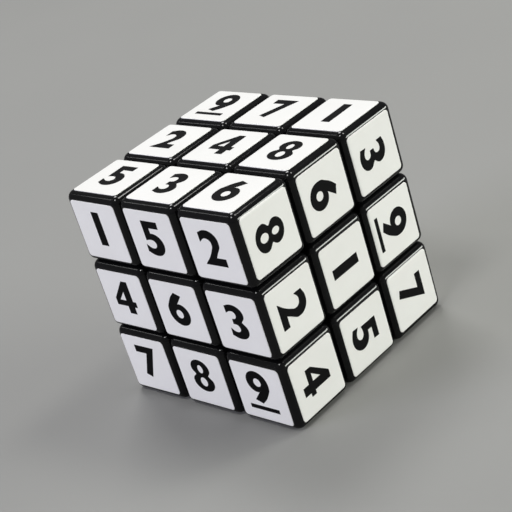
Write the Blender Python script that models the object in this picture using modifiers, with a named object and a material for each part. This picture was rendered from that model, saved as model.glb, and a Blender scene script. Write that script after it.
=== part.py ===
"""A number cube: twenty-six stickered pieces that turn in layers round a screwed core.

Units are metres and +Z is up. Front is -Y, right is +X. The origin is the middle of the core,
where the three turning axes cross, so every piece has its own origin there and is placed by a turn.
Each kind of piece is modelled once and its copies share that mesh.
"""
import math

import bmesh
import bpy
from mathutils import Matrix, Vector

# Outside of the cube
PITCH = 0.0190  # from the middle of one layer to the middle of the next
LAYER_GAP = 0.0003  # between the flat sides of neighbouring pieces
EDGE_RADIUS = 0.0020  # rounding along the edges of every piece
STICKER_MARGIN = 0.00165  # plastic left bare round a sticker
STICKER_CORNER = 0.0009
STICKER_THICKNESS = 0.00015

# Turning sphere: feet run inside it, shells run outside it
SHELL_THICKNESS = 0.0076  # plastic over the sphere at the middle of a face
SPHERE_GAP = 0.0005  # between a foot and the shell that holds it in
FOOT_THICKNESS = 0.0070  # from the running face of a foot to its flat tip

# Centre pieces and their caps
STEM_RADIUS = 0.0060
STEM_CLEARANCE = 0.0004  # from a stem to the plane where the feet begin
STEM_WALL = 0.0014
SEAT_GAP = 0.0003  # between pieces that seat on or in each other
CAP_THICKNESS = 0.0023
PLUG_DEPTH = 0.0017  # how far a cap's plug goes down the well
FLOOR_THICKNESS = 0.0020

# Screws, washers and springs in the wells
SHANK_RADIUS = 0.0015
SHANK_CLEARANCE = 0.0007  # from a shank to the bore that turns round it
HEAD_ROOM = 0.00345  # free height over a screw head, for setting the tension
HEAD_HEIGHT = 0.0022
HEAD_CLEARANCE = 0.0010  # from a screw head to the wall of its well
CROWN_HEIGHT = 0.0011  # the sloping shoulder of a pan head
CROWN_INSET = 0.00125
SLOT_WIDTH = 0.0008
SLOT_DEPTH = 0.0012
SLOT_INSET = 0.00015  # from the rim of the head's flat top to the ends of its slots
WASHER_THICKNESS = 0.0006
WASHER_CLEARANCE = 0.0007  # from a washer to the wall of its well
SPRING_LENGTH = 0.0041
SPRING_TURNS = 3
SPRING_CLEARANCE = 0.0012  # from a shank to the inside of its spring
WIRE_RADIUS = 0.0003

# Core
ARM_RADIUS = 0.0040
ARM_LENGTH = 0.0035  # how far an arm stands out of the core's ball
CORE_WEB = 0.0019  # plastic left between the ends of neighbouring screw holes

# Facets
EDGE_STEPS = 2
CORNER_STEPS = 2
SPHERE_SEGMENTS = 32
ROUND_SEGMENTS = 16
SCREW_SEGMENTS = 12
COIL_POINTS = 8  # points in each turn of a spring
SMOOTH_ANGLE = math.radians(35)
OVERRUN = 0.0002  # how far joined or cutting shapes run past the face they meet
MERGE_DISTANCE = 1e-7  # points nearer to each other than this are one

# Sizes that follow from those above
BLOCK_SIDE = PITCH - LAYER_GAP
OUTER_FACE = PITCH + BLOCK_SIDE / 2
STICKER_SIDE = BLOCK_SIDE - 2 * STICKER_MARGIN
STICKER_LAP = max(0.0, EDGE_RADIUS - STICKER_MARGIN)  # how far a sticker runs on over the rounding
PAD_ROOT = OVERRUN + STICKER_LAP  # how deep a sticker's pad is rooted, to meet the rounding under its rim
SHELL_RADIUS = OUTER_FACE - SHELL_THICKNESS
FOOT_RADIUS = SHELL_RADIUS - SPHERE_GAP
FOOT_TIP = FOOT_RADIUS - FOOT_THICKNESS
FOOT_PLANE = STEM_RADIUS + STEM_CLEARANCE
FOOT_NEAR = FOOT_PLANE + LAYER_GAP / 2
FOOT_FAR = FOOT_PLANE - LAYER_GAP / 2

WELL_RADIUS = STEM_RADIUS - STEM_WALL
CAP_BASE = OUTER_FACE - CAP_THICKNESS
HUB_TOP = CAP_BASE - SEAT_GAP
PLUG_BOTTOM = HUB_TOP - PLUG_DEPTH
HEAD_TOP = PLUG_BOTTOM - HEAD_ROOM
HEAD_BASE = HEAD_TOP - HEAD_HEIGHT
WASHER_TOP = HEAD_BASE - SEAT_GAP
WASHER_BASE = WASHER_TOP - WASHER_THICKNESS
SPRING_TOP = WASHER_BASE - SEAT_GAP
SPRING_BASE = SPRING_TOP - SPRING_LENGTH
WELL_FLOOR = SPRING_BASE - SEAT_GAP
HUB_BASE = WELL_FLOOR - FLOOR_THICKNESS
ARM_REACH = HUB_BASE - SEAT_GAP
BALL_RADIUS = ARM_REACH - ARM_LENGTH
HOLE_RADIUS = SHANK_RADIUS + SEAT_GAP
HOLE_END = HOLE_RADIUS + CORE_WEB
SHANK_END = HOLE_END + SEAT_GAP
SPRING_RADIUS = SHANK_RADIUS + SPRING_CLEARANCE + WIRE_RADIUS

# The six faces, each with the direction that it looks in
FACES = {
    "up": Vector((0, 0, 1)),
    "down": Vector((0, 0, -1)),
    "front": Vector((0, -1, 0)),
    "back": Vector((0, 1, 0)),
    "right": Vector((1, 0, 0)),
    "left": Vector((-1, 0, 0)),
}

for old in list(bpy.data.objects):
    bpy.data.objects.remove(old, do_unlink=True)

parts = bpy.data.collections.new("number_cube")
tools = bpy.data.collections.new("cutters")
bpy.context.scene.collection.children.link(parts)
bpy.context.scene.collection.children.link(tools)

frame = bpy.data.objects.new("cube_frame", None)
parts.objects.link(frame)


def material(name, color, roughness, metallic=0.0):
    """A plain finish with one colour."""
    made = bpy.data.materials.new(name)
    made.use_nodes = True
    shader = made.node_tree.nodes["Principled BSDF"]
    shader.inputs["Base Color"].default_value = (*color, 1.0)
    shader.inputs["Roughness"].default_value = roughness
    shader.inputs["Metallic"].default_value = metallic
    return made


BLACK_PLASTIC = material("black_plastic", (0.010, 0.010, 0.011), 0.22)
STICKER_VINYL = material("sticker_vinyl", (0.88, 0.88, 0.87), 0.40)
CORE_PLASTIC = material("core_plastic", (0.62, 0.61, 0.58), 0.45)
ZINC_STEEL = material("zinc_steel", (0.60, 0.60, 0.62), 0.30, 1.0)
SPRING_STEEL = material("spring_steel", (0.45, 0.45, 0.46), 0.35, 1.0)


def tool(name, shape, finish_material=None):
    """A shape to cut or join with, from a bmesh. A joined shape with a finish brings it along."""
    mesh = bpy.data.meshes.new(name)
    shape.to_mesh(mesh)
    shape.free()
    if finish_material:
        mesh.materials.append(finish_material)
    made = bpy.data.objects.new(name, mesh)
    made.hide_render = True
    made.display_type = "WIRE"
    tools.objects.link(made)
    return made


def combine(target, operation, *others):
    """Cut the other shapes from the target, or join them to it."""
    for other in others:
        step = target.modifiers.new(other.name, "BOOLEAN")
        step.operation = operation
        step.object = other
        step.solver = "EXACT"
        if other.data.materials:
            step.material_mode = "TRANSFER"


def finish(pattern, name):
    """The mesh of a pattern with its modifiers, shaded smooth over its round stretches."""
    graph = bpy.context.evaluated_depsgraph_get()
    mesh = bpy.data.meshes.new_from_object(pattern.evaluated_get(graph))
    mesh.name = name
    mesh.shade_smooth()
    mesh.set_sharp_from_angle(angle=SMOOTH_ANGLE)
    return mesh


def place(name, mesh, turn, finish_material):
    """One piece: a copy of a mesh, turned into place about the middle of the cube."""
    made = bpy.data.objects.new(name, mesh)
    if not mesh.materials:
        mesh.materials.append(finish_material)
    made.parent = frame
    made.rotation_mode = "QUATERNION"
    made.rotation_quaternion = turn.to_quaternion()
    parts.objects.link(made)


def rounded_block(name, middle):
    """The square block that every outer piece starts from, with its edges rounded."""
    shape = bmesh.new()
    bmesh.ops.create_cube(shape, size=BLOCK_SIDE, matrix=Matrix.Translation(middle))
    made = tool(name, shape, BLACK_PLASTIC)
    rounding = made.modifiers.new("rounding", "BEVEL")
    rounding.width = EDGE_RADIUS
    rounding.segments = EDGE_STEPS
    return made


def sliced_ball(name, radius, segments, *slices):
    """A ball cut flat by planes. Each slice is an outward direction and its distance from the middle."""
    shape = bmesh.new()
    bmesh.ops.create_uvsphere(shape, u_segments=segments, v_segments=segments // 2, radius=radius)
    for outward, distance in slices:
        normal = Vector(outward).normalized()
        everything = shape.verts[:] + shape.edges[:] + shape.faces[:]
        bmesh.ops.bisect_plane(
            shape,
            geom=everything,
            dist=MERGE_DISTANCE,
            plane_co=normal * distance,
            plane_no=normal,
            clear_outer=True,
        )
        rim = [edge for edge in shape.edges if edge.is_boundary]
        bmesh.ops.holes_fill(shape, edges=rim)
    return tool(name, shape)


def rod(name, radius, low, high, segments=ROUND_SEGMENTS):
    """A round bar along Z from one height to another."""
    shape = bmesh.new()
    middle = Matrix.Translation((0, 0, (low + high) / 2))
    bmesh.ops.create_cone(
        shape,
        cap_ends=True,
        segments=segments,
        radius1=radius,
        radius2=radius,
        depth=high - low,
        matrix=middle,
    )
    return tool(name, shape)


def slab(name, low, high):
    """A plain box from its low corner to its high corner."""
    low, high = Vector(low), Vector(high)
    shape = bmesh.new()
    bmesh.ops.create_cube(shape, size=1.0)
    bmesh.ops.scale(shape, vec=high - low, verts=shape.verts)
    bmesh.ops.translate(shape, vec=(low + high) / 2, verts=shape.verts)
    return tool(name, shape)


def sticker_pad(name, outward, middle):
    """The thin raised square where a sticker lies, on the outer face of the block at middle."""
    shape = bmesh.new()
    bmesh.ops.create_cube(shape, size=1.0)
    thickness = STICKER_THICKNESS + PAD_ROOT
    bmesh.ops.scale(shape, vec=(STICKER_SIDE, STICKER_SIDE, thickness), verts=shape.verts)
    uprights = [edge for edge in shape.edges if abs(edge.verts[0].co.z - edge.verts[1].co.z) > thickness / 2]
    bmesh.ops.bevel(
        shape, geom=uprights, offset=STICKER_CORNER, segments=CORNER_STEPS, profile=0.5, affect="EDGES"
    )
    outward = Vector(outward)
    lift = BLOCK_SIDE / 2 + STICKER_THICKNESS - thickness / 2
    turn = outward.to_track_quat("Z", "Y").to_matrix().to_4x4()
    bmesh.ops.transform(
        shape, matrix=Matrix.Translation(Vector(middle) + outward * lift) @ turn, verts=shape.verts
    )
    return tool(name, shape, STICKER_VINYL)


def turned(name, profile, segments, closed=False):
    """A solid turned about Z from (radius, height) points, listed from the top down its outside."""
    mesh = bpy.data.meshes.new(name)
    points = [(radius, 0.0, height) for radius, height in profile]
    steps = [(k, k + 1) for k in range(len(points) - 1)]
    if closed:
        steps.append((len(points) - 1, 0))
    mesh.from_pydata(points, steps, [])
    made = bpy.data.objects.new(name, mesh)
    made.hide_render = True
    made.display_type = "WIRE"
    tools.objects.link(made)
    turning = made.modifiers.new("turning", "SCREW")
    turning.steps = segments
    turning.render_steps = segments
    turning.use_merge_vertices = True
    turning.merge_threshold = MERGE_DISTANCE
    return made


# Core: a ball with six arms, each with a blind hole for a screw
def core_mesh():
    core = sliced_ball("core_ball", BALL_RADIUS, ROUND_SEGMENTS)
    across = {
        "z": Matrix(),
        "x": Matrix.Rotation(math.pi / 2, 4, "Y"),
        "y": Matrix.Rotation(math.pi / 2, 4, "X"),
    }
    arms = []
    holes = []
    for axis, turn in across.items():
        arm = rod(f"core_arm_{axis}", ARM_RADIUS, -ARM_REACH, ARM_REACH)
        arm.data.transform(turn)
        arms.append(arm)
        for end, side in (("far", 1), ("near", -1)):
            low, high = sorted((side * HOLE_END, side * (ARM_REACH + OVERRUN)))
            hole = rod(f"core_hole_{axis}_{end}", HOLE_RADIUS, low, high, SCREW_SEGMENTS)
            hole.data.transform(turn)
            holes.append(hole)
    combine(core, "UNION", *arms)
    combine(core, "DIFFERENCE", *holes)
    return finish(core, "core")


# Centre piece: a block hollowed by the turning sphere, on a stem with a stepped well
def centre_mesh():
    centre = rounded_block("centre_block", (0, 0, PITCH))
    cap_room = slab("centre_cap_room", (-PITCH, -PITCH, HUB_TOP), (PITCH, PITCH, PITCH * 2))
    hollow = sliced_ball("centre_hollow", SHELL_RADIUS, SPHERE_SEGMENTS)
    hollow.data.transform(Matrix.Rotation(math.pi / 2, 4, "X"))
    stem = rod("centre_stem", STEM_RADIUS, HUB_BASE, HUB_TOP - OVERRUN)
    well = rod("centre_well", WELL_RADIUS, WELL_FLOOR, HUB_TOP + OVERRUN)
    bore = rod("centre_bore", SHANK_RADIUS + SHANK_CLEARANCE, HUB_BASE - OVERRUN, WELL_FLOOR + OVERRUN)
    combine(centre, "DIFFERENCE", cap_room, hollow)
    combine(centre, "UNION", stem)
    combine(centre, "DIFFERENCE", well, bore)
    return finish(centre, "centre")


# Cap: the square lid with a sticker, whose plug goes into the well and covers the screw
def cap_mesh():
    cap = rounded_block("cap_block", (0, 0, PITCH))
    below = slab("cap_below", (-PITCH, -PITCH, 0), (PITCH, PITCH, CAP_BASE))
    plug = rod("cap_plug", WELL_RADIUS - SEAT_GAP, PLUG_BOTTOM, CAP_BASE + OVERRUN)
    combine(cap, "DIFFERENCE", below)
    combine(cap, "UNION", plug, sticker_pad("cap_pad", FACES["up"], (0, 0, PITCH)))
    return finish(cap, "cap")


# Screw: a pan head with a cross slot, on a plain shank that ends in the core
def screw_mesh():
    radius = WELL_RADIUS - HEAD_CLEARANCE
    flat = radius - CROWN_INSET
    profile = (
        (0.0, HEAD_TOP),
        (flat, HEAD_TOP),
        (radius, HEAD_TOP - CROWN_HEIGHT),
        (radius, HEAD_BASE),
        (SHANK_RADIUS, HEAD_BASE),
        (SHANK_RADIUS, SHANK_END + SHANK_RADIUS),
        (0.0, SHANK_END),
    )
    screw = turned("screw_blank", profile, SCREW_SEGMENTS)
    half = SLOT_WIDTH / 2
    reach = flat - SLOT_INSET
    top = HEAD_TOP + OVERRUN
    bottom = HEAD_TOP - SLOT_DEPTH
    slot = slab("screw_slot", (-reach, -half, bottom), (reach, half, top))
    cross = slab("screw_cross_slot", (-half, -reach, bottom), (half, reach, top))
    combine(screw, "DIFFERENCE", slot, cross)
    return finish(screw, "screw")


# Washer: a flat steel ring between the screw head and the spring
def washer_mesh():
    outer = WELL_RADIUS - WASHER_CLEARANCE
    inner = SHANK_RADIUS + SEAT_GAP
    profile = ((inner, WASHER_TOP), (outer, WASHER_TOP), (outer, WASHER_BASE), (inner, WASHER_BASE))
    return finish(turned("washer_blank", profile, SCREW_SEGMENTS, closed=True), "washer")


# Spring: an open coil that presses the centre piece down on the core's arm
def spring_mesh():
    coil = bpy.data.curves.new("spring_coil", "CURVE")
    coil.dimensions = "3D"
    coil.bevel_depth = WIRE_RADIUS
    coil.bevel_resolution = 1
    coil.use_fill_caps = True
    count = SPRING_TURNS * COIL_POINTS + 1
    wire = coil.splines.new("POLY")
    wire.points.add(count - 1)
    rise = SPRING_LENGTH - 2 * WIRE_RADIUS
    for k, point in enumerate(wire.points):
        angle = 2 * math.pi * k / COIL_POINTS
        height = SPRING_BASE + WIRE_RADIUS + rise * k / (count - 1)
        point.co = (SPRING_RADIUS * math.cos(angle), SPRING_RADIUS * math.sin(angle), height, 1.0)
    made = bpy.data.objects.new("spring_coil", coil)
    made.hide_render = True
    made.display_type = "WIRE"
    tools.objects.link(made)
    mesh = finish(made, "spring")
    shape = bmesh.new()
    shape.from_mesh(mesh)
    bmesh.ops.remove_doubles(shape, verts=shape.verts, dist=MERGE_DISTANCE)
    shape.to_mesh(mesh)
    shape.free()
    return mesh


# Edge piece, modelled up and front: two stickered faces, a waist and a foot under both centre pieces
def edge_mesh():
    middle = (0, -PITCH, PITCH)
    edge = rounded_block("edge_block", middle)
    right_bite = sliced_ball("edge_right_bite", SHELL_RADIUS, SPHERE_SEGMENTS, ((-1, 0, 0), -FOOT_FAR))
    left_bite = sliced_ball("edge_left_bite", SHELL_RADIUS, SPHERE_SEGMENTS, ((1, 0, 0), -FOOT_FAR))
    foot = sliced_ball(
        "edge_foot",
        FOOT_RADIUS,
        SPHERE_SEGMENTS,
        ((1, 0, 0), FOOT_FAR),
        ((-1, 0, 0), FOOT_FAR),
        ((0, 1, 0), -FOOT_NEAR),
        ((0, 0, -1), -FOOT_NEAR),
        ((0, 1, -1), -FOOT_TIP),
    )
    pads = [sticker_pad(f"edge_pad_{face}", FACES[face], middle) for face in ("up", "front")]
    combine(edge, "DIFFERENCE", right_bite, left_bite)
    combine(edge, "UNION", foot, *pads)
    return finish(edge, "edge")


# Corner piece, modelled up, right and back: three stickered faces and a foot under the edge pieces
def corner_mesh():
    middle = (PITCH, PITCH, PITCH)
    corner = rounded_block("corner_block", middle)
    foot = sliced_ball(
        "corner_foot",
        FOOT_RADIUS,
        SPHERE_SEGMENTS,
        ((-1, 0, 0), -FOOT_NEAR),
        ((0, -1, 0), -FOOT_NEAR),
        ((0, 0, -1), -FOOT_NEAR),
        ((-1, -1, -1), -FOOT_TIP),
    )
    pads = [sticker_pad(f"corner_pad_{face}", FACES[face], middle) for face in ("up", "right", "back")]
    combine(corner, "UNION", foot, *pads)
    return finish(corner, "corner")


def turn_onto(start, goal):
    """The turn that takes one set of directions onto another, such as two faces of an edge piece."""
    def basis(directions):
        first, second = directions
        return Matrix((first, second, first.cross(second))).transposed()
    return basis(goal) @ basis(start).inverted()


place("core", core_mesh(), Matrix.Identity(3), CORE_PLASTIC)

# What each face carries on its axis, modelled on the up face
face_kit = (
    ("centre", centre_mesh(), BLACK_PLASTIC),
    ("cap", cap_mesh(), BLACK_PLASTIC),
    ("screw", screw_mesh(), ZINC_STEEL),
    ("washer", washer_mesh(), ZINC_STEEL),
    ("spring", spring_mesh(), SPRING_STEEL),
)
for face, outward in FACES.items():
    level = FACES["right"] if face in ("up", "down") else FACES["up"]
    turn = turn_onto((FACES["up"], FACES["right"]), (outward, level))
    for kind, mesh, finish_material in face_kit:
        place(f"{kind}_{face}", mesh, turn, finish_material)

edge = edge_mesh()
edge_faces = [(level, side) for level in ("up", "down") for side in ("front", "back", "right", "left")]
edge_faces += [(side, flank) for side in ("front", "back") for flank in ("right", "left")]
for first, second in edge_faces:
    turn = turn_onto((FACES["up"], FACES["front"]), (FACES[first], FACES[second]))
    place(f"edge_{first}_{second}", edge, turn, BLACK_PLASTIC)

corner = corner_mesh()
for level in ("up", "down"):
    for side in ("front", "back"):
        for flank in ("right", "left"):
            pair = (FACES[side], FACES[flank])
            same_hand = pair[0].cross(pair[1]).dot(FACES[level]) > 0
            goal = (pair[1], pair[0]) if same_hand else pair
            turn = turn_onto((FACES["back"], FACES["right"]), goal)
            place(f"corner_{level}_{side}_{flank}", corner, turn, BLACK_PLASTIC)
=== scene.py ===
# Number cube: three layers each way, gloss black mouldings on a screwed core, and white stickers
# with bold black numbers. Sizes are in metres. Front is -Y, right is +X and up is +Z.
import math
import random

import bmesh
import bpy
from mathutils import Matrix, Quaternion, Vector


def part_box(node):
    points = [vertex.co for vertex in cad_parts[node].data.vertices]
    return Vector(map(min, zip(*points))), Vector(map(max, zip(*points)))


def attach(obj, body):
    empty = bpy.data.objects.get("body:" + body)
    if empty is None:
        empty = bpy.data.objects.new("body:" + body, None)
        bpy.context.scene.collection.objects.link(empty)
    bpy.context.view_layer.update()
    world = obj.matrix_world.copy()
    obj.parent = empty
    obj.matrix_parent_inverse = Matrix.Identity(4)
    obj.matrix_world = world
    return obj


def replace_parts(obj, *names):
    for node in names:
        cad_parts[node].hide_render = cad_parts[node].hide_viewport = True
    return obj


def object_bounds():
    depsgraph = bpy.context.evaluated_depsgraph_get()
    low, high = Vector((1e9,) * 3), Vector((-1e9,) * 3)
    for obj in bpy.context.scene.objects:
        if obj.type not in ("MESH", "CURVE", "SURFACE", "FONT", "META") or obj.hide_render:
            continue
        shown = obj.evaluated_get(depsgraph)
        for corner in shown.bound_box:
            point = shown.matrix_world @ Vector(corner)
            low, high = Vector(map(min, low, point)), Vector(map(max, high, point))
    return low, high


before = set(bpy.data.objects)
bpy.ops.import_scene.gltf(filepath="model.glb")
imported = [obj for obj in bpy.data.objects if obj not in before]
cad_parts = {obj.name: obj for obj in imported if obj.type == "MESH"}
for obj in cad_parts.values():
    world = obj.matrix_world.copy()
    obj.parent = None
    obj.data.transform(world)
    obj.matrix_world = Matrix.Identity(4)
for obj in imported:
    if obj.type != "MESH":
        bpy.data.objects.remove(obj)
cad_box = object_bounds()

# Core. One moulding in natural nylon: a ball with six arms. Each arm ends in a flat seat for a
# centre piece, and has a moulded pilot hole in which its screw cuts a thread.
ARM_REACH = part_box("core")[1].z
ARM_RADIUS = 0.0040
ARM_ROUNDING = 0.0003
BALL_RADIUS = 0.0070
BALL_STEPS = 64
PILOT_RADIUS = 0.0018
PILOT_END = 0.0037  # from the middle of the cube to the bottom of a pilot hole
ROUND_STEPS = 48
RIM_STEPS = 3  # facets across the rounding of a bar's end
OVERRUN = 0.0002  # how far a cutting or joining shape runs past the face that it meets
WELD = 0.000002  # corners closer than this are one corner
SHARP_ANGLE = math.radians(32)  # edges that turn further than this stay crisp
NYLON_COLOUR = "dcd8cc"
NYLON_SHADE = "cfc9b8"
NYLON_CLOUD = 0.004  # width of the paler and darker patches that the melt leaves
NYLON_GRAIN = 0.00035  # coarser than the real grain, so that it shows
COLOUR_A, COLOUR_B, COLOUR_OUT = 6, 7, 2  # the sockets of a Mix node when it mixes colours


def linear(colour):
    """The linear value of an sRGB colour written in hex."""
    shares = [int(colour[k:k + 2], 16) / 255 for k in (0, 2, 4)]
    return [c / 12.92 if c <= 0.04045 else ((c + 0.055) / 1.055) ** 2.4 for c in shares] + [1.0]


def add_node(material, kind, settings=None, links=None):
    """Add a node to a material, set its sockets or its own settings, and link sockets to it."""
    made = material.node_tree.nodes.new(kind)
    for name, value in (settings or {}).items():
        if isinstance(name, int) or name in made.inputs:
            made.inputs[name].default_value = value
        else:
            setattr(made, name, value)
    for name, source in (links or {}).items():
        material.node_tree.links.new(source, made.inputs[name])
    return made


def new_finish(name):
    """An empty node material."""
    made = bpy.data.materials.new(name)
    made.use_nodes = True
    made.node_tree.nodes.clear()
    return made


def natural_nylon():
    """Moulded nylon without pigment: waxy off-white, clouded inside, with a fine matt grain."""
    made = new_finish("natural_nylon")
    place = add_node(made, "ShaderNodeTexCoord").outputs["Object"]
    cloud = add_node(made, "ShaderNodeTexNoise", {"Scale": 1 / NYLON_CLOUD, "Detail": 3.0}, {"Vector": place})
    tones = {"data_type": "RGBA", COLOUR_A: linear(NYLON_COLOUR), COLOUR_B: linear(NYLON_SHADE)}
    colour = add_node(made, "ShaderNodeMix", tones, {"Factor": cloud.outputs["Fac"]})
    grain = add_node(made, "ShaderNodeTexNoise", {"Scale": 1 / NYLON_GRAIN}, {"Vector": place})
    gloss = add_node(made, "ShaderNodeMapRange", {"To Min": 0.38, "To Max": 0.52},
                     {"Value": cloud.outputs["Fac"]})
    relief = add_node(made, "ShaderNodeBump", {"Strength": 0.25, "Distance": 0.00002},
                      {"Height": grain.outputs["Fac"]})
    shader = add_node(made, "ShaderNodeBsdfPrincipled", {"IOR": 1.53},
                      {"Base Color": colour.outputs[COLOUR_OUT], "Roughness": gloss.outputs["Result"],
                       "Normal": relief.outputs["Normal"]})
    add_node(made, "ShaderNodeOutputMaterial", None, {"Surface": shader.outputs["BSDF"]})
    return made


def rod(radius, low, high, rounding=0.0):
    """A round bar along Z from one height to another, with the rims of its ends rounded."""
    shape = bmesh.new()
    middle = Matrix.Translation((0, 0, (low + high) / 2))
    bmesh.ops.create_cone(shape, cap_ends=True, segments=ROUND_STEPS, radius1=radius, radius2=radius,
                          depth=high - low, matrix=middle)
    if rounding:
        rims = [e for e in shape.edges if abs(e.verts[0].co.z - e.verts[1].co.z) < OVERRUN]
        bmesh.ops.bevel(shape, geom=rims, offset=rounding, segments=RIM_STEPS, profile=0.5, affect="EDGES",
                        material=-1)
    return shape


def ball(radius, *slices):
    """A ball cut flat by planes. Each slice is an outward direction and its distance from the middle."""
    shape = bmesh.new()
    bmesh.ops.create_uvsphere(shape, u_segments=BALL_STEPS, v_segments=BALL_STEPS // 2, radius=radius)
    for outward, distance in slices:
        normal = Vector(outward).normalized()
        everything = shape.verts[:] + shape.edges[:] + shape.faces[:]
        bmesh.ops.bisect_plane(shape, geom=everything, dist=WELD, plane_co=normal * distance, plane_no=normal,
                               clear_outer=True)
        rim = [edge for edge in shape.edges if edge.is_boundary]
        bmesh.ops.holes_fill(shape, edges=rim)
    return shape


def mesh_of(made):
    """The mesh that an object makes with its modifiers, or that a curve makes. The object itself goes."""
    graph = bpy.context.evaluated_depsgraph_get()
    mesh = bpy.data.meshes.new_from_object(made.evaluated_get(graph))
    bpy.data.objects.remove(made, do_unlink=True)
    return mesh


def combine(base, *steps):
    """The mesh of a shape after others are cut from it or joined to it, in turn, with its slivers welded."""
    stock = []
    for shape in (base, *[other for operation, other in steps]):
        mesh = bpy.data.meshes.new("stock")
        shape.to_mesh(mesh)
        shape.free()
        stock.append(bpy.data.objects.new("stock", mesh))
        bpy.context.scene.collection.objects.link(stock[-1])
    blank, *others = stock
    for (operation, shape), other in zip(steps, others):
        step = blank.modifiers.new(operation, "BOOLEAN")
        step.operation = operation
        step.object = other
    mesh = mesh_of(blank)
    for other in others:
        bpy.data.objects.remove(other, do_unlink=True)
    welded = bmesh.new()
    welded.from_mesh(mesh)
    bmesh.ops.remove_doubles(welded, verts=welded.verts, dist=WELD)
    bmesh.ops.dissolve_degenerate(welded, edges=welded.edges, dist=WELD)
    welded.to_mesh(mesh)
    welded.free()
    mesh.shade_smooth()
    mesh.set_sharp_from_angle(angle=SHARP_ANGLE)
    return mesh


def add_piece(name, mesh, body):
    """One finished piece, which moves with a body."""
    made = bpy.data.objects.new(name, mesh)
    bpy.context.scene.collection.objects.link(made)
    shading = made.modifiers.new("level_flats", "WEIGHTED_NORMAL")
    shading.keep_sharp = True
    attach(made, body)
    return made


def fit(name, mesh, turn, material, node, body):
    """One finished piece that stands for a CAD node: a copy of a mesh, turned into place."""
    mesh = mesh.copy()
    mesh.transform(turn.to_4x4())
    mesh.materials.clear()
    mesh.materials.append(material)
    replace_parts(add_piece(name, mesh, body), node)


ALONG = (Matrix.Identity(4), Matrix.Rotation(math.pi / 2, 4, "Y"), Matrix.Rotation(math.pi / 2, 4, "X"))
core_steps = []
for along in ALONG:
    arm = rod(ARM_RADIUS, -ARM_REACH, ARM_REACH, ARM_ROUNDING)
    arm.transform(along)
    core_steps.append(("UNION", arm))
for along in ALONG:
    for low, high in ((PILOT_END, ARM_REACH + OVERRUN), (-ARM_REACH - OVERRUN, -PILOT_END)):
        pilot = rod(PILOT_RADIUS, low, high)
        pilot.transform(along)
        core_steps.append(("DIFFERENCE", pilot))
core_mesh = combine(ball(BALL_RADIUS), *core_steps)
fit("moulded_core", core_mesh, Matrix.Identity(3), natural_nylon(), "core", "core")

# Screws and washers. Six pan-head screws with a cross recess, cold headed and rolled from steel, and
# the stamped rings under their heads. Both are zinc plated, and the screws hold the cube together.
FACES = {
    "up": Vector((0, 0, 1)),
    "down": Vector((0, 0, -1)),
    "front": Vector((0, -1, 0)),
    "back": Vector((0, 1, 0)),
    "right": Vector((1, 0, 0)),
    "left": Vector((-1, 0, 0)),
}
screw_low, screw_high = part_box("screw_up")
washer_low, washer_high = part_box("washer_up")
HEAD_RADIUS = 0.0036
HEAD_HEIGHT = 0.0022
HEAD_FLAT = 0.0014  # radius of the level top of a head
CROWN_HEIGHT = 0.00121  # of the round shoulder between that top and the side
CROWN_STEPS = 6
SHANK_RADIUS = 0.0014
THREAD_RADIUS = 0.0017
THREAD_PITCH = 0.0010
THREAD_ROOT = 0.00084  # width of the ridge where it leaves the shank
THREAD_TURNS = 7
THREAD_STEPS = 24  # in each turn
THREAD_START = math.radians(2.5)  # keeps the ridge's corners off those of the shank
RECESS_WIDTH = 0.0008
RECESS_REACH = 0.0021
RECESS_DEPTH = 0.0012
WASHER_HOLE = 0.0018
WASHER_RADIUS = 0.0039
WASHER_ROUNDING = 0.00012
WASHER_STEPS = 2
ZINC_COLOUR = "c6c7c9"
ZINC_TINT = "b3b1a6"
ZINC_SPANGLE = 0.0009  # width of the tinted patches
ZINC_SCRATCH = 0.00012  # spacing of the fine marks


def zinc_plate():
    """Bright zinc on steel: a cool grey metal with a faint straw tint in patches and fine marks."""
    made = new_finish("zinc_plate")
    place = add_node(made, "ShaderNodeTexCoord").outputs["Object"]
    patch = add_node(made, "ShaderNodeTexNoise", {"Scale": 1 / ZINC_SPANGLE, "Detail": 4.0},
                     {"Vector": place})
    tones = {"data_type": "RGBA", COLOUR_A: linear(ZINC_COLOUR), COLOUR_B: linear(ZINC_TINT)}
    colour = add_node(made, "ShaderNodeMix", tones, {"Factor": patch.outputs["Fac"]})
    marks = add_node(made, "ShaderNodeTexNoise", {"Scale": 1 / ZINC_SCRATCH, "Detail": 2.0},
                     {"Vector": place})
    gloss = add_node(made, "ShaderNodeMapRange", {"To Min": 0.22, "To Max": 0.42},
                     {"Value": marks.outputs["Fac"]})
    relief = add_node(made, "ShaderNodeBump", {"Strength": 0.15, "Distance": 0.00001},
                      {"Height": marks.outputs["Fac"]})
    shader = add_node(made, "ShaderNodeBsdfPrincipled", {"Metallic": 1.0},
                      {"Base Color": colour.outputs[COLOUR_OUT], "Roughness": gloss.outputs["Result"],
                       "Normal": relief.outputs["Normal"]})
    add_node(made, "ShaderNodeOutputMaterial", None, {"Surface": shader.outputs["BSDF"]})
    return made


def turned(profile, closed=False):
    """A solid turned about Z from a profile of (radius, height) points."""
    shape = bmesh.new()
    points = [shape.verts.new((radius, 0, height)) for radius, height in profile]
    lines = [shape.edges.new(pair) for pair in zip(points, points[1:])]
    if closed:
        lines.append(shape.edges.new((points[-1], points[0])))
    bmesh.ops.spin(shape, geom=points + lines, axis=(0, 0, 1), cent=(0, 0, 0), angle=2 * math.pi,
                   steps=ROUND_STEPS, use_merge=True)
    bmesh.ops.remove_doubles(shape, verts=shape.verts, dist=WELD)
    bmesh.ops.recalc_face_normals(shape, faces=shape.faces)
    return shape


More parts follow.
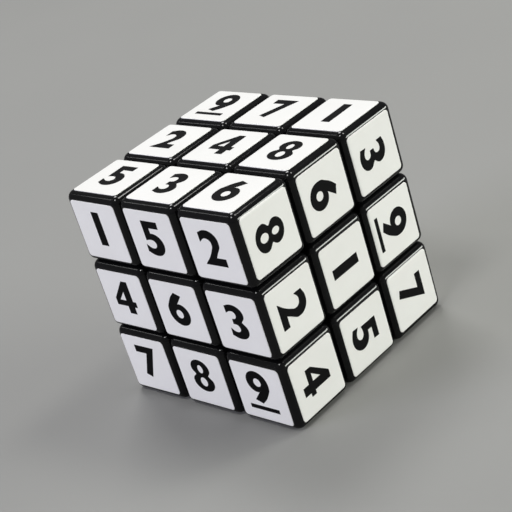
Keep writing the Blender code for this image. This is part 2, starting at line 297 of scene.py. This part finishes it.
def thread(low):
    """A rolled thread: a pointed ridge that climbs round a shank from one height."""
    shape = bmesh.new()
    inner = SHANK_RADIUS - OVERRUN
    half = THREAD_ROOT / 2
    outline = ((inner, 0, low - half), (THREAD_RADIUS, 0, low), (inner, 0, low + half))
    corners = [shape.verts.new(point) for point in outline]
    ridge = shape.faces.new(corners)
    bmesh.ops.spin(shape, geom=[ridge] + ridge.edges[:] + corners, axis=(0, 0, 1), cent=(0, 0, 0),
                   dvec=(0, 0, THREAD_PITCH / THREAD_STEPS), angle=2 * math.pi * THREAD_TURNS,
                   steps=THREAD_STEPS * THREAD_TURNS)
    bmesh.ops.remove_doubles(shape, verts=shape.verts, dist=WELD)
    rim = [edge for edge in shape.edges if edge.is_boundary]
    bmesh.ops.holes_fill(shape, edges=rim)
    bmesh.ops.recalc_face_normals(shape, faces=shape.faces)
    bmesh.ops.rotate(shape, cent=(0, 0, 0), matrix=Matrix.Rotation(THREAD_START, 3, "Z"), verts=shape.verts)
    return shape


def bar(low, high):
    """A plain box from its low corner to its high corner, to cut with."""
    low, high = Vector(low), Vector(high)
    shape = bmesh.new()
    bmesh.ops.create_cube(shape, size=1.0)
    bmesh.ops.scale(shape, vec=high - low, verts=shape.verts)
    bmesh.ops.translate(shape, vec=(low + high) / 2, verts=shape.verts)
    return shape


def turn_onto(start, goal):
    """The turn that takes two directions onto two others."""
    def basis(first, second):
        return Matrix((first, second, first.cross(second))).transposed()
    return basis(*goal) @ basis(*start).inverted()


head_top = screw_high.z
head_base = head_top - HEAD_HEIGHT
shank_end = screw_low.z
screw_profile = [(0.0, head_top)]
for step in range(CROWN_STEPS + 1):
    angle = math.pi / 2 * step / CROWN_STEPS
    outwards = HEAD_FLAT + (HEAD_RADIUS - HEAD_FLAT) * math.sin(angle)
    screw_profile.append((outwards, head_top - CROWN_HEIGHT * (1 - math.cos(angle))))
screw_profile += [
    (HEAD_RADIUS, head_base),
    (SHANK_RADIUS, head_base),
    (SHANK_RADIUS, shank_end + SHANK_RADIUS),
    (0.0, shank_end),
]
half_width = RECESS_WIDTH / 2
recess_top = head_top + OVERRUN
recess_floor = head_top - RECESS_DEPTH
screw_mesh = combine(
    turned(screw_profile),
    ("UNION", thread(shank_end + SHANK_RADIUS + THREAD_PITCH / 2)),
    ("DIFFERENCE", bar((-RECESS_REACH, -half_width, recess_floor), (RECESS_REACH, half_width, recess_top))),
    ("DIFFERENCE", bar((-half_width, -RECESS_REACH, recess_floor), (half_width, RECESS_REACH, recess_top))),
)
washer_shape = turned([(WASHER_HOLE, washer_high.z), (WASHER_RADIUS, washer_high.z),
                       (WASHER_RADIUS, washer_low.z), (WASHER_HOLE, washer_low.z)], closed=True)
washer_rims = [e for e in washer_shape.edges if e.calc_face_angle(0.0) > SHARP_ANGLE]
bmesh.ops.bevel(washer_shape, geom=washer_rims, offset=WASHER_ROUNDING, segments=WASHER_STEPS, profile=0.5,
                affect="EDGES", material=-1)
washer_mesh = combine(washer_shape)

face_turns = {}
for face, outward in FACES.items():
    level = FACES["right"] if face in ("up", "down") else FACES["up"]
    face_turns[face] = turn_onto((FACES["up"], FACES["right"]), (outward, level))
zinc = zinc_plate()
for face, turn in face_turns.items():
    fit(f"headed_screw_{face}", screw_mesh, turn, zinc, f"screw_{face}", "core")
    fit(f"stamped_washer_{face}", washer_mesh, turn, zinc, f"washer_{face}", "core")

# Springs. Six short coils of drawn spring wire, wound cold with their end turns drawn closer. Each sits
# in a centre piece's well under the washer and presses that piece on the core's arm.
spring_low, spring_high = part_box("spring_up")
WIRE_RADIUS = 0.0003
COIL_RADIUS = 0.0030
COIL_TURNS = 3
COIL_STEPS = 32  # points in each turn
WIRE_STEPS = 3  # each adds two sides to the four that the wire's girth has at least
COIL_EASE = 0.10  # share of the length by which the end turns lie closer
WIRE_COLOUR = "9a9a9c"
WIRE_STREAK = "77787c"
WIRE_DRAW = 0.0004  # spacing of the streaks that the drawing die leaves


def spring_wire():
    """Drawn spring steel: a darker grey metal with streaks and an oily sheen."""
    made = new_finish("spring_wire")
    place = add_node(made, "ShaderNodeTexCoord").outputs["Object"]
    streak = add_node(made, "ShaderNodeTexNoise", {"Scale": 1 / WIRE_DRAW, "Detail": 3.0, "Distortion": 1.5},
                      {"Vector": place})
    tones = {"data_type": "RGBA", COLOUR_A: linear(WIRE_COLOUR), COLOUR_B: linear(WIRE_STREAK)}
    colour = add_node(made, "ShaderNodeMix", tones, {"Factor": streak.outputs["Fac"]})
    gloss = add_node(made, "ShaderNodeMapRange", {"To Min": 0.25, "To Max": 0.40},
                     {"Value": streak.outputs["Fac"]})
    shader = add_node(made, "ShaderNodeBsdfPrincipled", {"Metallic": 1.0},
                      {"Base Color": colour.outputs[COLOUR_OUT], "Roughness": gloss.outputs["Result"]})
    add_node(made, "ShaderNodeOutputMaterial", None, {"Surface": shader.outputs["BSDF"]})
    return made


def coil_mesh():
    """The wound wire as a closed mesh along Z."""
    count = COIL_TURNS * COIL_STEPS
    base = spring_low.z + WIRE_RADIUS
    rise = spring_high.z - spring_low.z - 2 * WIRE_RADIUS
    wire = bpy.data.curves.new("coil", "CURVE")
    wire.dimensions = "3D"
    wire.bevel_depth = WIRE_RADIUS
    wire.bevel_resolution = WIRE_STEPS
    wire.use_fill_caps = True
    path = wire.splines.new("POLY")
    path.points.add(count)
    for k, point in enumerate(path.points):
        share = k / count
        eased = share - COIL_EASE * math.sin(2 * math.pi * share) / (2 * math.pi)
        angle = 2 * math.pi * COIL_TURNS * share
        point.co = (COIL_RADIUS * math.cos(angle), COIL_RADIUS * math.sin(angle), base + rise * eased, 1.0)
    made = bpy.data.objects.new("coil", wire)
    bpy.context.scene.collection.objects.link(made)
    shape = bmesh.new()
    shape.from_mesh(mesh_of(made))
    bmesh.ops.remove_doubles(shape, verts=shape.verts, dist=WELD)
    return combine(shape)


spring_mesh = coil_mesh()
wire_finish = spring_wire()
for face, turn in face_turns.items():
    fit(f"wound_spring_{face}", spring_mesh, turn, wire_finish, f"spring_{face}", "core")

# Centre pieces. Six hubs moulded in black ABS: a square shell hollowed by the turning sphere, on a stem
# with a stepped well. Each turns on its screw and is pressed on the core by its spring.
cap_low, cap_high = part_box("cap_up")
hub_low, hub_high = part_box("centre_up")
STICKER_THICKNESS = 0.00015
BLOCK_SIDE = cap_high.x - cap_low.x
OUTER_FACE = cap_high.z - STICKER_THICKNESS
PITCH = OUTER_FACE - BLOCK_SIDE / 2
EDGE_RADIUS = 0.0020
EDGE_STEPS = 10
SHELL_RADIUS = 0.02075  # of the sphere that the outer shells run on
STEM_RADIUS = 0.0060
STEM_ROUNDING = 0.0003
WELL_RADIUS = 0.0046
WELL_FLOOR = 0.0128
BORE_RADIUS = 0.0022
ABS_COLOUR = "0a0a0b"
ABS_BLOOM = "111113"
ABS_FLOW = 0.007  # width of the faint flow marks of moulding
ABS_PEEL = 0.0030  # ripple of the polished mould, which breaks up the highlights
ABS_SCUFF = 0.0003  # coarser than real scuffs, so that they show


def gloss_abs():
    """Black ABS from a polished mould: deep black and glossy, with a slight ripple and faint scuffs."""
    made = new_finish("gloss_abs")
    place = add_node(made, "ShaderNodeTexCoord").outputs["Object"]
    flow = add_node(made, "ShaderNodeTexNoise", {"Scale": 1 / ABS_FLOW, "Detail": 3.0}, {"Vector": place})
    tones = {"data_type": "RGBA", COLOUR_A: linear(ABS_COLOUR), COLOUR_B: linear(ABS_BLOOM)}
    colour = add_node(made, "ShaderNodeMix", tones, {"Factor": flow.outputs["Fac"]})
    scuff = add_node(made, "ShaderNodeTexNoise", {"Scale": 1 / ABS_SCUFF, "Detail": 4.0}, {"Vector": place})
    mixed = add_node(made, "ShaderNodeMath", {"operation": "MULTIPLY"},
                     {0: flow.outputs["Fac"], 1: scuff.outputs["Fac"]})
    sheen = {"From Min": 0.1, "From Max": 0.4, "To Min": 0.08, "To Max": 0.14}
    gloss = add_node(made, "ShaderNodeMapRange", sheen, {"Value": mixed.outputs["Value"]})
    peel = add_node(made, "ShaderNodeTexNoise", {"Scale": 1 / ABS_PEEL, "Detail": 1.0}, {"Vector": place})
    relief = add_node(made, "ShaderNodeBump", {"Strength": 0.10, "Distance": 0.00002},
                      {"Height": peel.outputs["Fac"]})
    shader = add_node(made, "ShaderNodeBsdfPrincipled", {"IOR": 1.54, "Specular IOR Level": 0.36},
                      {"Base Color": colour.outputs[COLOUR_OUT], "Roughness": gloss.outputs["Result"],
                       "Normal": relief.outputs["Normal"]})
    add_node(made, "ShaderNodeOutputMaterial", None, {"Surface": shader.outputs["BSDF"]})
    return made


def rounded_block(middle):
    """The square block that every outer piece starts from, with all its edges rounded."""
    shape = bmesh.new()
    bmesh.ops.create_cube(shape, size=BLOCK_SIDE, matrix=Matrix.Translation(middle))
    bmesh.ops.bevel(shape, geom=shape.edges[:], offset=EDGE_RADIUS, segments=EDGE_STEPS, profile=0.5,
                    affect="EDGES", material=-1)
    return shape


black = gloss_abs()
centre_mesh = combine(
    rounded_block((0, 0, PITCH)),
    ("DIFFERENCE", bar((-PITCH, -PITCH, hub_high.z), (PITCH, PITCH, PITCH * 2))),
    ("DIFFERENCE", ball(SHELL_RADIUS)),
    ("UNION", rod(STEM_RADIUS, hub_low.z, hub_high.z - OVERRUN, STEM_ROUNDING)),
    ("DIFFERENCE", rod(WELL_RADIUS, WELL_FLOOR, hub_high.z + OVERRUN)),
    ("DIFFERENCE", rod(BORE_RADIUS, hub_low.z - OVERRUN, WELL_FLOOR + OVERRUN)),
)
for face, turn in face_turns.items():
    piece = f"centre_{face}"
    fit(f"moulded_{piece}", centre_mesh, turn, black, piece, piece)

# Edge pieces. Twelve black ABS mouldings with two stickered faces. Each has a waist, bitten out by the
# turning sphere on both sides, and a foot that runs under its two centre pieces and holds it in.
FOOT_RADIUS = 0.02025
FOOT_TIP = 0.01325
FOOT_NEAR = 0.00655  # planes where a foot ends beside the stems and under its neighbours
FOOT_FAR = 0.00625
edge_middle = (FACES["up"] + FACES["front"]) * PITCH
edge_mesh = combine(
    rounded_block(edge_middle),
    ("UNION", ball(FOOT_RADIUS, ((0, 1, 0), -FOOT_NEAR), ((0, 0, -1), -FOOT_NEAR), ((0, 1, -1), -FOOT_TIP))),
    ("DIFFERENCE", ball(SHELL_RADIUS, ((-1, 0, 0), -FOOT_FAR))),
    ("DIFFERENCE", ball(SHELL_RADIUS, ((1, 0, 0), -FOOT_FAR))),
)
for piece in [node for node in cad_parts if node.startswith("edge_")]:
    first, second = [FACES[face] for face in piece.split("_")[1:]]
    turn = turn_onto((FACES["up"], FACES["front"]), (first, second))
    fit(f"moulded_{piece}", edge_mesh, turn, black, piece, piece)

# Corner pieces. Eight black ABS mouldings with three stickered faces. The foot of each runs under the
# edge pieces beside it, which hold it in.
corner_middle = (FACES["up"] + FACES["right"] + FACES["back"]) * PITCH
corner_mesh = combine(
    rounded_block(corner_middle),
    ("UNION", ball(FOOT_RADIUS, ((-1, 0, 0), -FOOT_NEAR), ((0, -1, 0), -FOOT_NEAR), ((0, 0, -1), -FOOT_NEAR),
                   ((-1, -1, -1), -FOOT_TIP))),
)
for piece in [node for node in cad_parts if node.startswith("corner_")]:
    level, side, flank = [FACES[face] for face in piece.split("_")[1:]]
    goal = (flank, side) if side.cross(flank).dot(level) > 0 else (side, flank)
    turn = turn_onto((FACES["back"], FACES["right"]), goal)
    fit(f"moulded_{piece}", corner_mesh, turn, black, piece, piece)

# Centre caps. Six square lids in the same black ABS, pressed on the centre pieces once the screws are
# set. The round plug of each goes down the well and hides the screw.
CAP_SEAT = 0.0003  # between a cap and the rim of its centre piece
cap_base = hub_high.z + CAP_SEAT
PLUG_RADIUS = 0.0043
PLUG_ROUNDING = 0.0002
cap_mesh = combine(
    rounded_block((0, 0, PITCH)),
    ("DIFFERENCE", bar((-PITCH, -PITCH, 0), (PITCH, PITCH, cap_base))),
    ("UNION", rod(PLUG_RADIUS, cap_low.z, cap_base + OVERRUN, PLUG_ROUNDING)),
)
for face, turn in face_turns.items():
    fit(f"moulded_cap_{face}", cap_mesh, turn, black, f"cap_{face}", f"centre_{face}")

# Stickers. Fifty-four squares die cut from white vinyl film, with one bold number printed on each in black
# ink. Every face holds 1 to 9 once, and a line under the 9 tells it from the 6.
STICKER_SIDE = 0.0154
STICKER_CORNER = 0.0009
CORNER_STEPS = 8
FILM_THICKNESS = 0.00012
FILM_ROUNDING = 0.00004
FILM_ROUNDING_STEPS = 2
FILM_BEND = 0.0002  # from one bend line to the next near the rim, where the film follows the rounding
FILM_BENDS = 4
LAY_SHIFT = 0.00010  # how far a sticker may lie from the middle of its piece, and how far it may be turned
LAY_TURN = math.radians(0.4)
LAY_SEED = 9
INK_SUNK = 0.00002  # how far the printed plate reaches into the film, so that it can't lift off
PRINT_SHIFT = 0.0006  # from the middle of a sticker to the middle of its print
MM = 0.001
ROUND_HANDLE = 0.55  # handle length, as a share of the stretch, that makes a quarter turn round
LINE_STEPS = 8  # facets in each stretch of a number's outline
FILM_COLOUR = "f3f3f1"
FILM_SHADE = "ecebe8"
FILM_TONE = 0.009  # width of the barely darker patches
FILM_GRAIN = 0.0006  # coarser than the real grain, so that it shows
INK_COLOUR = "0c0c0d"
INK_THIN = "131314"
INK_TONE = 0.0025  # width of the patches where the coat is thinner


def oval(x, y, across, tall):
    """The outline of an oval hole: its four outermost points, each with the way the line runs there."""
    return [(x + across, y, 0, 1), (x, y + tall, -1, 0), (x - across, y, 0, -1), (x, y - tall, 1, 0)]


# The outlines of the numbers in millimetres about the middle of the print. A point is a corner, or has
# the direction in which a round stretch passes through it.
six = [
    [(-0.25, 4.5), (2.0, 3.76), (-0.05, 1.32), (0.5, 1.43, 1, 0), (3.22, -1.4, 0, -1), (-0.15, -4.6, -1, 0),
     (-3.64, -1.24, 0, 1), (-2.6, 1.83, 0.52, 0.85)],
    oval(-0.2, -1.4, 1.15, 1.17),
]
NINE_SHIFT = (-0.4, 0.89)
nine = [[(NINE_SHIFT[0] - p[0], NINE_SHIFT[1] - p[1], *[-d for d in p[2:]]) for p in line] for line in six]
nine_bar = [(-4.72, -4.46), (4.4, -4.46), (4.4, -5.6), (-4.72, -5.6)]
NUMBERS = {
    "1": [[(-1.28, 4.6), (1.28, 4.6), (1.28, -4.45), (-1.28, -4.45)]],
    "2": [[(-3.33, 3.82), (-0.6, 4.6, 1, 0), (2.5, 1.83, 0, -1), (1.69, -0.45, -0.6, -0.8), (0.46, -2.33),
           (3.27, -2.33), (3.27, -4.37), (-3.65, -4.37), (-0.46, -0.47, 0.5, 0.87), (0.1, 1.21, 0, 1),
           (-1.38, 2.44, -1, 0), (-3.33, 1.37)]],
    "3": [[(-2.82, 3.88), (-0.4, 4.43, 1, 0), (2.65, 1.98, 0, -1), (1.5, 0.0), (2.91, -2.16, 0, -1),
           (-0.1, -4.7, -1, 0), (-2.82, -4.05), (-2.75, -2.1), (-0.8, -2.93, 1, 0), (0.4, -2.0, 0, 1),
           (-0.6, -0.85, -1, 0), (-1.42, -0.8), (-1.42, 0.5), (-0.9, 0.58, 1, 0), (0.15, 1.67, 0, 1),
           (-0.9, 2.65, -1, 0), (-2.75, 1.98)]],
    "4": [[(0.31, 4.68), (2.33, 4.68), (2.33, -0.87), (3.37, -0.87), (3.37, -2.47), (2.33, -2.47),
           (2.33, -4.46), (-0.06, -4.46), (-0.06, -2.47), (-3.8, -2.47), (-3.8, -0.57)],
          [(-0.06, 1.67), (-0.06, -0.87), (-2.2, -0.87)]],
    "5": [[(-2.76, 4.5), (2.6, 4.5), (2.5, 2.65), (-0.67, 2.65), (-0.67, 1.24), (-0.2, 1.28, 1, 0),
           (2.92, -1.55, 0, -1), (-0.3, -4.6, -1, 0), (-3.25, -3.75), (-3.22, -1.8), (-1.05, -2.72, 1, 0),
           (0.32, -1.55, 0, 1), (-1.05, -0.45, -1, 0), (-2.76, -0.75)]],
    "6": six,
    "7": [[(-3.58, 4.53), (3.31, 4.53), (-0.55, -4.6), (-2.6, -3.94), (0.15, 2.53), (-3.58, 2.53)]],
    "8": [[(-0.05, 4.68, 1, 0), (3.0, 2.13, 0, -1), (2.0, 0.3), (3.4, -1.7, 0, -1), (-0.05, -4.46, -1, 0),
           (-3.47, -1.7, 0, 1), (-2.08, 0.3), (-3.12, 2.13, 0, 1)],
          oval(-0.05, 1.98, 0.89, 1.17), oval(-0.08, -1.7, 1.15, 1.3)],
    "9": [*nine, nine_bar],
}

# Each face's numbers, row by row as they are read, with the way their tops point and how far the print
# sits from the middle of its sticker that way.
PRINTS = {
    "up": (("971", "248", "536"), FACES["back"], PRINT_SHIFT),
    "front": (("152", "463", "789"), FACES["up"], PRINT_SHIFT),
    "right": (("397", "615", "824"), FACES["back"], -PRINT_SHIFT),
    "back": (("627", "951", "384"), FACES["up"], PRINT_SHIFT),
    "left": (("395", "782", "614"), FACES["up"], PRINT_SHIFT),
    "down": (("842", "637", "195"), FACES["front"], PRINT_SHIFT),
}


def white_vinyl():
    """White vinyl film: opaque and satin, with a soft grain and a barely uneven white."""
    made = new_finish("white_vinyl")
    place = add_node(made, "ShaderNodeTexCoord").outputs["Object"]
    tone = add_node(made, "ShaderNodeTexNoise", {"Scale": 1 / FILM_TONE, "Detail": 3.0}, {"Vector": place})
    tones = {"data_type": "RGBA", COLOUR_A: linear(FILM_COLOUR), COLOUR_B: linear(FILM_SHADE)}
    colour = add_node(made, "ShaderNodeMix", tones, {"Factor": tone.outputs["Fac"]})
    grain = add_node(made, "ShaderNodeTexNoise", {"Scale": 1 / FILM_GRAIN, "Detail": 2.0}, {"Vector": place})
    gloss = add_node(made, "ShaderNodeMapRange", {"To Min": 0.32, "To Max": 0.44},
                     {"Value": grain.outputs["Fac"]})
    relief = add_node(made, "ShaderNodeBump", {"Strength": 0.06, "Distance": 0.00003},
                      {"Height": grain.outputs["Fac"]})
    shader = add_node(made, "ShaderNodeBsdfPrincipled", {"IOR": 1.50, "Specular IOR Level": 0.35},
                      {"Base Color": colour.outputs[COLOUR_OUT], "Roughness": gloss.outputs["Result"],
                       "Normal": relief.outputs["Normal"]})
    add_node(made, "ShaderNodeOutputMaterial", None, {"Surface": shader.outputs["BSDF"]})
    return made


def black_ink():
    """Screen-printed ink: a dense black coat, a little thinner in patches, with a low sheen."""
    made = new_finish("black_ink")
    place = add_node(made, "ShaderNodeTexCoord").outputs["Object"]
    tone = add_node(made, "ShaderNodeTexNoise", {"Scale": 1 / INK_TONE, "Detail": 4.0}, {"Vector": place})
    tones = {"data_type": "RGBA", COLOUR_A: linear(INK_COLOUR), COLOUR_B: linear(INK_THIN)}
    colour = add_node(made, "ShaderNodeMix", tones, {"Factor": tone.outputs["Fac"]})
    gloss = add_node(made, "ShaderNodeMapRange", {"To Min": 0.50, "To Max": 0.62},
                     {"Value": tone.outputs["Fac"]})
    shader = add_node(made, "ShaderNodeBsdfPrincipled", {"IOR": 1.48, "Specular IOR Level": 0.08},
                      {"Base Color": colour.outputs[COLOUR_OUT], "Roughness": gloss.outputs["Result"]})
    add_node(made, "ShaderNodeOutputMaterial", None, {"Surface": shader.outputs["BSDF"]})
    return made


def film_square():
    """The die-cut film, lying on the plane z = 0, with round corners and bend lines near its rim."""
    shape = bmesh.new()
    bmesh.ops.create_cube(shape, size=1.0)
    bmesh.ops.scale(shape, vec=(STICKER_SIDE, STICKER_SIDE, FILM_THICKNESS), verts=shape.verts)
    bmesh.ops.translate(shape, vec=(0, 0, FILM_THICKNESS / 2), verts=shape.verts)
    uprights = [e for e in shape.edges if abs(e.verts[0].co.z - e.verts[1].co.z) > FILM_THICKNESS / 2]
    bmesh.ops.bevel(shape, geom=uprights, offset=STICKER_CORNER, segments=CORNER_STEPS, profile=0.5,
                    affect="EDGES", material=-1)
    rim = shape.verts[:]
    levels = [face for face in shape.faces if len(face.verts) > CORNER_STEPS]
    for bend in range(FILM_BENDS):
        bmesh.ops.inset_individual(shape, faces=levels, thickness=FILM_BEND)
    top_rim = [e for e in shape.edges if all(v in rim and v.co.z > FILM_THICKNESS / 2 for v in e.verts)]
    bmesh.ops.bevel(shape, geom=top_rim, offset=FILM_ROUNDING, segments=FILM_ROUNDING_STEPS, profile=0.5,
                    affect="EDGES", material=-1)
    return shape


def rounding_drop(x, y):
    """How far the outer face of a piece has fallen away at a point, measured from the middle of the face."""
    flat = BLOCK_SIDE / 2 - EDGE_RADIUS
    past = math.hypot(max(0.0, abs(x) - flat), max(0.0, abs(y) - flat))
    return EDGE_RADIUS - math.sqrt(EDGE_RADIUS ** 2 - past ** 2)


def handle(point, other):
    """Where the line leaves a point towards the other end of its stretch."""
    here, step = Vector(point[:2]), Vector(other[:2]) - Vector(point[:2])
    if len(point) == 2:
        return here + step / 3
    way = Vector(point[2:]).normalized()
    return here + way * step.dot(way) * ROUND_HANDLE


def number_plate(outlines):
    """The printed number as a thin closed plate, lying on the plane z = 0."""
    flat = bpy.data.curves.new("number", "CURVE")
    flat.dimensions = "2D"
    flat.fill_mode = "BOTH"
    flat.extrude = (STICKER_THICKNESS - FILM_THICKNESS + INK_SUNK) / 2
    flat.resolution_u = LINE_STEPS
    for outline in outlines:
        line = flat.splines.new("BEZIER")
        line.bezier_points.add(len(outline) - 1)
        line.use_cyclic_u = True
        for k, point in enumerate(line.bezier_points):
            before, here, after = outline[k - 1], outline[k], outline[(k + 1) % len(outline)]
            point.handle_left_type = "FREE"
            point.handle_right_type = "FREE"
            point.co = (here[0] * MM, here[1] * MM, 0)
            point.handle_left = (*handle(here, before) * MM, 0)
            point.handle_right = (*handle(here, after) * MM, 0)
    made = bpy.data.objects.new("number", flat)
    bpy.context.scene.collection.objects.link(made)
    return mesh_of(made)


def sticker_mesh(number, shift, lay):
    """A film square with its number printed on it, laid on a piece's outer face. The ink has index 1."""
    shape = film_square()
    film_faces = set(shape.faces)
    shape.from_mesh(number_plate(NUMBERS[number]))
    ink_faces = [face for face in shape.faces if face not in film_faces]
    ink_points = list({vertex for face in ink_faces for vertex in face.verts})
    middle = (STICKER_THICKNESS + FILM_THICKNESS - INK_SUNK) / 2
    bmesh.ops.translate(shape, vec=(0, shift, middle), verts=ink_points)
    for face in ink_faces:
        face.material_index = 1
    bmesh.ops.remove_doubles(shape, verts=ink_points, dist=WELD)
    bmesh.ops.transform(shape, matrix=lay, verts=shape.verts)
    for vertex in shape.verts:
        vertex.co.z -= rounding_drop(vertex.co.x, vertex.co.y)
    return combine(shape)


# Stickers that lie visibly off the middle of their piece, in millimetres to the right and up as read.
LAID_OFF = {
    ("right", "8"): (-0.28, -0.1),
    ("right", "7"): (-0.28, -0.15),
    ("right", "3"): (-0.12, -0.35),
    ("right", "9"): (0.0, -0.42),
    ("right", "1"): (0.22, 0.0),
    ("right", "5"): (0.2, 0.0),
}
hand = random.Random(LAY_SEED)
film, ink = white_vinyl(), black_ink()
KINDS = {1: "centre", 2: "edge", 3: "corner"}
for face, (rows, reading_up, shift) in PRINTS.items():
    outward = FACES[face]
    reading_right = reading_up.cross(outward)
    for row, numbers in enumerate(rows):
        for column, number in enumerate(numbers):
            middle = outward * OUTER_FACE + (reading_right * (column - 1) + reading_up * (1 - row)) * PITCH
            off = [hand.uniform(-LAY_SHIFT, LAY_SHIFT) for way in ("right", "up")]
            if (face, number) in LAID_OFF:
                off = [k * MM for k in LAID_OFF[face, number]]
            lay = Matrix.Translation((*off, 0)) @ Matrix.Rotation(hand.uniform(-LAY_TURN, LAY_TURN), 4, "Z")
            mesh = sticker_mesh(number, shift, lay)
            upright = Matrix((reading_right, reading_up, outward)).transposed()
            mesh.transform(Matrix.Translation(middle) @ upright.to_4x4())
            mesh.materials.append(film)
            mesh.materials.append(ink)
            sides = [name for name, way in FACES.items() if middle.dot(way) > PITCH / 2]
            carrier = "_".join([KINDS[len(sides)], *sides])
            add_piece(f"sticker_{face}_{number}", mesh, carrier)

# Studio. A wide level floor of pale grey paper, soft boxes overhead and on both sides, and the camera,
# which leans to one side, so that the cube seems to stand on a corner.
FLOOR_RADIUS = 8.0
FLOOR_STEPS = 64
FLOOR_DROP = 0.00005  # keeps the floor out of the plane of the lowest numbers
FLOOR_COLOUR = "989895"
FLOOR_SHADE = "929290"
FLOOR_PAINTED_SHADE_IN_GLOSS = "6e6e6c"  # painted shade: the paper is drawn darker where gloss mirrors it, so that no haze lies on the black pieces
FLOOR_TONE = 0.15  # width of the paper's darker patches
CAMERA_PLACE = Vector((0.2450, -0.2080, 0.1562))
CAMERA_AIM = Vector((-0.00014, -0.00112, -0.00121))
CAMERA_ROLL = math.radians(-17.85)
CAMERA_LENS = 103.1  # in millimetres, as the sensor is
CAMERA_SENSOR = 36.0
WORLD_COLOUR = "c8c8c8"
WORLD_STRENGTH = 0.25
LAMP_DISTANCE = 1.40  # from the middle of the cube


def matt_paper():
    """Seamless studio paper: matt pale grey with a faint unevenness, and painted shade in reflections, where
    glossy rays see it darker.
    """
    made = new_finish("matt_paper")
    place = add_node(made, "ShaderNodeTexCoord").outputs["Object"]
    tone = add_node(made, "ShaderNodeTexNoise", {"Scale": 1 / FLOOR_TONE, "Detail": 3.0}, {"Vector": place})
    tones = {"data_type": "RGBA", COLOUR_A: linear(FLOOR_COLOUR), COLOUR_B: linear(FLOOR_SHADE)}
    colour = add_node(made, "ShaderNodeMix", tones, {"Factor": tone.outputs["Fac"]})
    # Painted shade: glossy rays see the paper darker than it is, so the black pieces mirror a shaded floor.
    ray = add_node(made, "ShaderNodeLightPath")
    paper_with_painted_shade_in_gloss = add_node(made, "ShaderNodeMix", {"data_type": "RGBA", COLOUR_B: linear(FLOOR_PAINTED_SHADE_IN_GLOSS)},
                    {"Factor": ray.outputs["Is Glossy Ray"], COLOUR_A: colour.outputs[COLOUR_OUT]})
    shader = add_node(made, "ShaderNodeBsdfPrincipled", {"Roughness": 0.85, "Specular IOR Level": 0.2},
                      {"Base Color": paper_with_painted_shade_in_gloss.outputs[COLOUR_OUT]})
    add_node(made, "ShaderNodeOutputMaterial", None, {"Surface": shader.outputs["BSDF"]})
    return made


def soft_box(name, way, width, height, radiance, tint):
    """A flat lamp that faces the middle of the cube from one direction."""
    data = bpy.data.lights.new(name, "AREA")
    data.shape = "RECTANGLE"
    data.size = width
    data.size_y = height
    data.color = linear(tint)[:3]
    data.energy = radiance * math.pi * width * height
    lamp = bpy.data.objects.new(name, data)
    lamp.location = Vector(way).normalized() * LAMP_DISTANCE
    lamp.rotation_mode = "QUATERNION"
    lamp.rotation_quaternion = Vector(way).to_track_quat("Z", "Y")
    lamp.visible_camera = False
    bpy.context.scene.collection.objects.link(lamp)
    return lamp


ground = bmesh.new()
bmesh.ops.create_circle(ground, cap_ends=True, segments=FLOOR_STEPS, radius=FLOOR_RADIUS,
                        matrix=Matrix.Translation((0, 0, cad_box[0].z - FLOOR_DROP)))
floor_mesh = bpy.data.meshes.new("floor")
ground.to_mesh(floor_mesh)
ground.free()
floor_mesh.materials.append(matt_paper())
floor = bpy.data.objects.new("floor", floor_mesh)
bpy.context.scene.collection.objects.link(floor)

# The key light is high at the back left. The top boxes light the up face and draw its highlights, the strip
# and the sliver light the right face and the left edges, and the fill opens up the front with no reflection.
soft_box("key_box", (-0.42, 0.30, 0.856), 0.45, 0.45, 13.0, "ffffff")
soft_box("top_front_box", (0.055, -0.402, 0.914), 0.30, 0.30, 18.0, "ffffff")
soft_box("top_back_box", (0.25, 0.447, 0.858), 0.30, 0.30, 14.0, "fffefa")
soft_box("right_strip", (0.785, 0.582, 0.205), 1.14, 0.26, 18.0, "fafdf6")
soft_box("left_sliver", (-0.686, -0.284, 0.671), 0.06, 0.36, 4.0, "ffffff")
front_fill = soft_box("front_fill", (-0.55, -0.80, 0.24), 0.70, 0.50, 11.5, "eeeeff")
front_fill.visible_glossy = False

world = bpy.data.worlds.new("studio_room")
world.use_nodes = True
background = world.node_tree.nodes["Background"]
background.inputs["Color"].default_value = linear(WORLD_COLOUR)
background.inputs["Strength"].default_value = WORLD_STRENGTH
bpy.context.scene.world = world

camera_data = bpy.data.cameras.new("camera")
camera_data.sensor_width = CAMERA_SENSOR
camera_data.lens = CAMERA_LENS
camera_data.clip_start = 0.01
camera = bpy.data.objects.new("camera", camera_data)
camera.location = CAMERA_PLACE
level_view = (CAMERA_AIM - CAMERA_PLACE).to_track_quat("-Z", "Y")
camera.rotation_mode = "QUATERNION"
camera.rotation_quaternion = level_view @ Quaternion((0, 0, 1), CAMERA_ROLL)
bpy.context.scene.collection.objects.link(camera)
bpy.context.scene.camera = camera
bpy.context.scene.view_settings.view_transform = "Standard"
